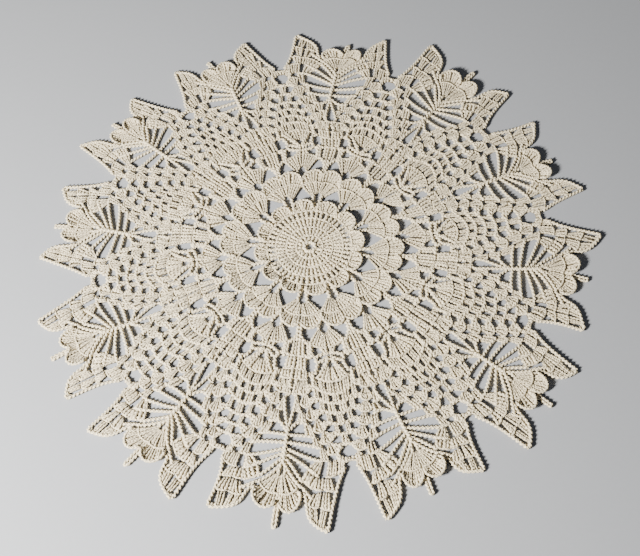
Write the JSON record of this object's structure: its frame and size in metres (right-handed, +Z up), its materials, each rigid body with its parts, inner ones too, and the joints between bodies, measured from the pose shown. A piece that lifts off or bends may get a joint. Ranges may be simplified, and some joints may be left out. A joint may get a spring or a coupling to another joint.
{
  "type": "lace doily",
  "caption": "Round openwork crocheted cotton doily lying flat, with pointed scallops round its edge, for under a dish, lamp or vase.",
  "frame": {"origin": "middle of the doily's bounding box, on the surface it lies on", "axes": "+Z up out of the lying doily, -Y towards the viewer, X and Y in the plane of the cloth"},
  "size_m": [0.3926, 0.3928, 0.002],
  "materials": {
    "ecru_cotton": "matte ecru cotton thread with a soft sheen, crocheted"
  },
  "bodies": {
    "root": {"doily": "ecru_cotton"}
  },
  "joints": []
}
